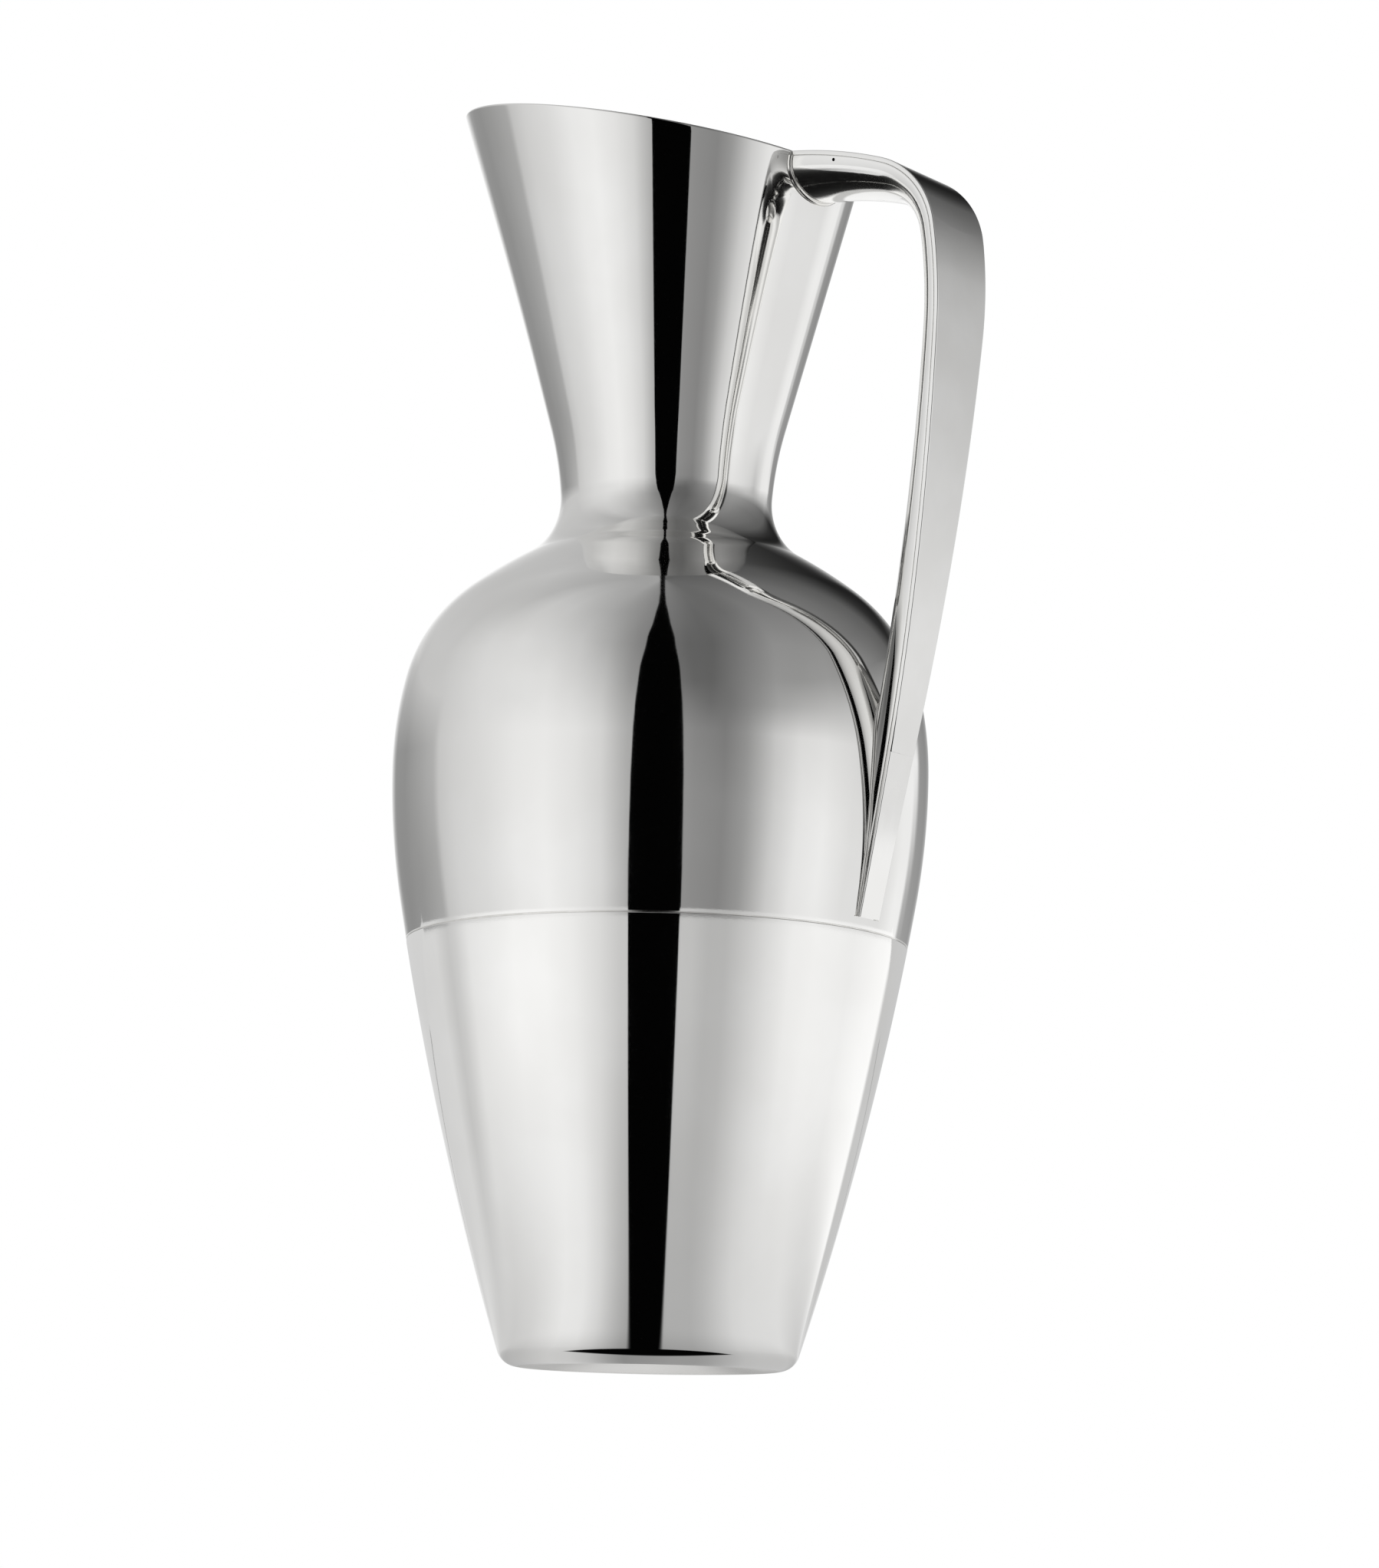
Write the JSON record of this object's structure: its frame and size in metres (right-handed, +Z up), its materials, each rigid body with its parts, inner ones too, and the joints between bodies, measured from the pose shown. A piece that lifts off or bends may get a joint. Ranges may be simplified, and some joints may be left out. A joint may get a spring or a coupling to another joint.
{
  "type": "water pitcher",
  "caption": "Polished silver water pitcher: tapered cup and pear-shaped upper half joined at a seam, flared mouth with a small spout, hollow strap handle.",
  "frame": {"origin": "on the body's axis at the plane the standing ring rests on", "axes": "+Z up along the body's axis, +X towards the handle, -X towards the spout, Y across; mirror plane Y = 0"},
  "size_m": [0.1473, 0.1274, 0.306],
  "materials": {
    "body_silver": "mirror-polished silver with very fine buffing marks",
    "handle_silver": "polished silver, buffed along its length, slightly softer than the body",
    "inner_silver": "satin silver, left from the spinning lathe",
    "solder_silver": "silver solder, hairline fillets, buffed but a little duller"
  },
  "bodies": {
    "root": {"lower_body": "body_silver", "upper_body": "body_silver", "seam_lap_band": "inner_silver", "seam_solder": "solder_silver", "handle_outer_plate": "handle_silver", "handle_inner_shell": "handle_silver", "handle_root_collar": "solder_silver", "handle_foot_collar": "solder_silver"}
  },
  "joints": []
}
